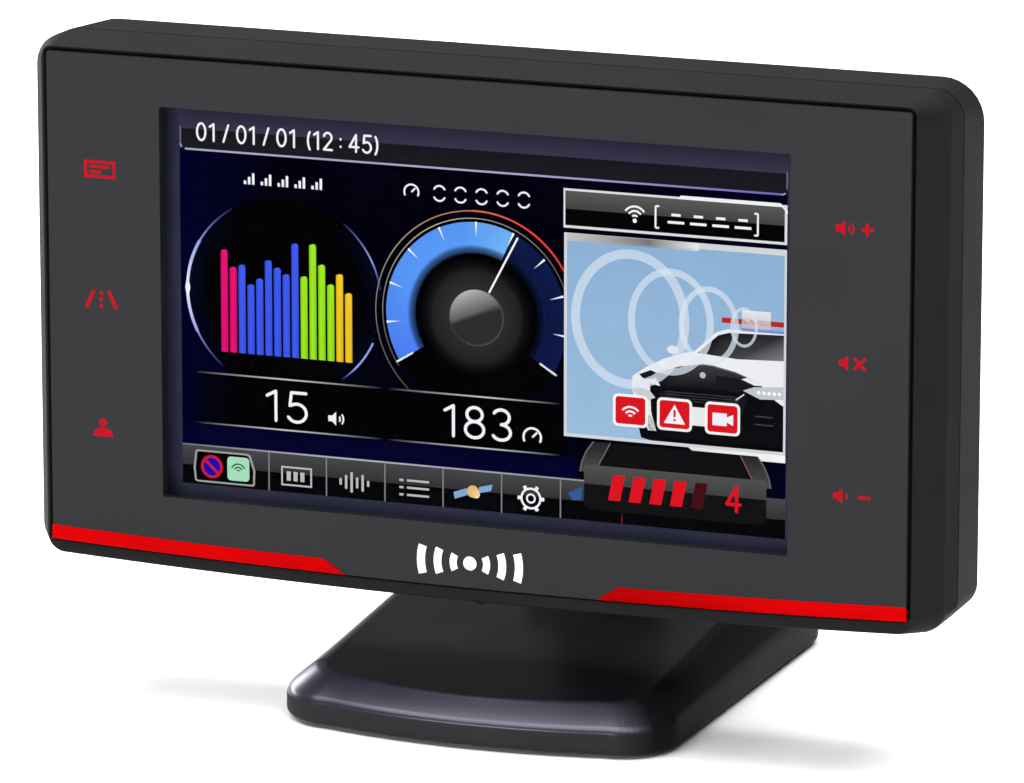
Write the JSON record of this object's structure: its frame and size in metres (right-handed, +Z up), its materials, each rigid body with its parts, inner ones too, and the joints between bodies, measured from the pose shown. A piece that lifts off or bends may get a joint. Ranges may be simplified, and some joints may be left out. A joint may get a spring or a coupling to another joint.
{
  "type": "radar detector",
  "caption": "Dash-top radar and laser detector: flat touch-screen head with red accent strips, on a wedge stand whose neck swivels and tilts.",
  "frame": {"origin": "middle of the underside of the stand's adhesive pad, on the surface that it stands on", "axes": "+X to the right seen from the driver, +Y towards the windscreen, +Z up; the screen faces -Y"},
  "size_m": [0.1307, 0.0744, 0.0911],
  "materials": {
    "housing_black": "fine-grained moulded black plastic, satin",
    "cover_black": "fine-grained moulded black plastic, slightly lighter",
    "panel_grey": "smooth dark grey panel, satin",
    "accent_red": "deep red gloss plastic",
    "touch_glass": "clear touch layer, glossy",
    "lcd": "lit liquid-crystal screen",
    "foam": "closed-cell foam",
    "pad_rubber": "tacky black gel pad",
    "steel": "zinc-plated steel",
    "black_steel": "black oxide steel",
    "die_cast": "die-cast, matt",
    "circuit_board": "green solder mask",
    "rf_board": "dark green microwave laminate",
    "ribbon": "amber polyimide film",
    "connector_cream": "cream connector plastic",
    "black_plastic": "black connector plastic",
    "ceramic": "unglazed antenna ceramic",
    "lens_dark": "infrared-pass plastic, nearly black red",
    "speaker_paper": "pressed paper cone",
    "ferrite": "ferrite magnet and yoke",
    "fibre": "brown friction fibre"
  },
  "bodies": {
    "stand": {"adhesive_pad": "pad_rubber", "base_plate": "steel", "base_shell": "housing_black", "base_screws": "steel", "neck_arm": "housing_black", "neck_screws": "steel"},
    "swivel": {"swivel_knuckle": "black_plastic", "swivel_washer": "steel", "swivel_nut": "steel"},
    "bracket": {"tilt_bracket": "housing_black", "friction_washers": "fibre", "tilt_nut": "steel"},
    "clamp_knob": {"tilt_bolt": "steel", "tilt_knob": "black_plastic"},
    "switch": {"switch_slider": "black_plastic"},
    "card": {"memory_card": "black_plastic"},
    "head": {"front_panel": "panel_grey", "accent_strip_left": "accent_red", "accent_strip_right": "accent_red", "touch_glass": "touch_glass", "screen_gasket": "foam", "lcd_panel": "lcd", "lcd_frame": "steel", "screen_flex": "ribbon", "flex_connector": "connector_cream", "touch_key_boards": "circuit_board", "front_case": "housing_black", "rear_cover": "cover_black", "case_screws": "black_steel", "main_board": "circuit_board", "board_screws": "steel", "processor_shield": "steel", "radar_module": "rf_board", "radar_horn": "die_cast", "horn_screws": "steel", "gps_antenna": "ceramic", "laser_sensor": "black_plastic", "laser_lens": "lens_dark", "speaker_frame": "steel", "speaker_cone": "speaker_paper", "speaker_magnet": "ferrite", "speaker_gasket": "foam", "backup_cell": "steel", "cell_holder": "black_plastic", "power_jack": "black_plastic", "data_jack": "steel", "card_socket": "steel", "switch_body": "steel"}
  },
  "joints": [
    {"name": "neck_swivel", "type": "hinge", "parent": "stand", "child": "swivel", "pos_m": [0, 0.0064, 0.0492], "axis": [0, 0, 1], "range_deg": [-30, 30]},
    {"name": "head_tilt", "type": "hinge", "parent": "swivel", "child": "bracket", "pos_m": [0, 0.0064, 0.0633], "axis": [1, 0, 0], "range_deg": [-25, 15]},
    {"name": "knob_turn", "type": "hinge", "parent": "bracket", "child": "clamp_knob", "pos_m": [0.008, 0.0064, 0.0633], "axis": [1, 0, 0], "range_deg": [0, 180]},
    {"name": "head_release", "type": "slide", "parent": "bracket", "child": "head", "axis": [0, 0, 1], "range_m": [0, 0.032]},
    {"name": "power_switch", "type": "slide", "parent": "head", "child": "switch", "axis": [0, 0, 1], "range_m": [0, 0.0025]},
    {"name": "card_eject", "type": "slide", "parent": "head", "child": "card", "axis": [-1, 0, 0], "range_m": [-0.0006, 0.014]}
  ]
}
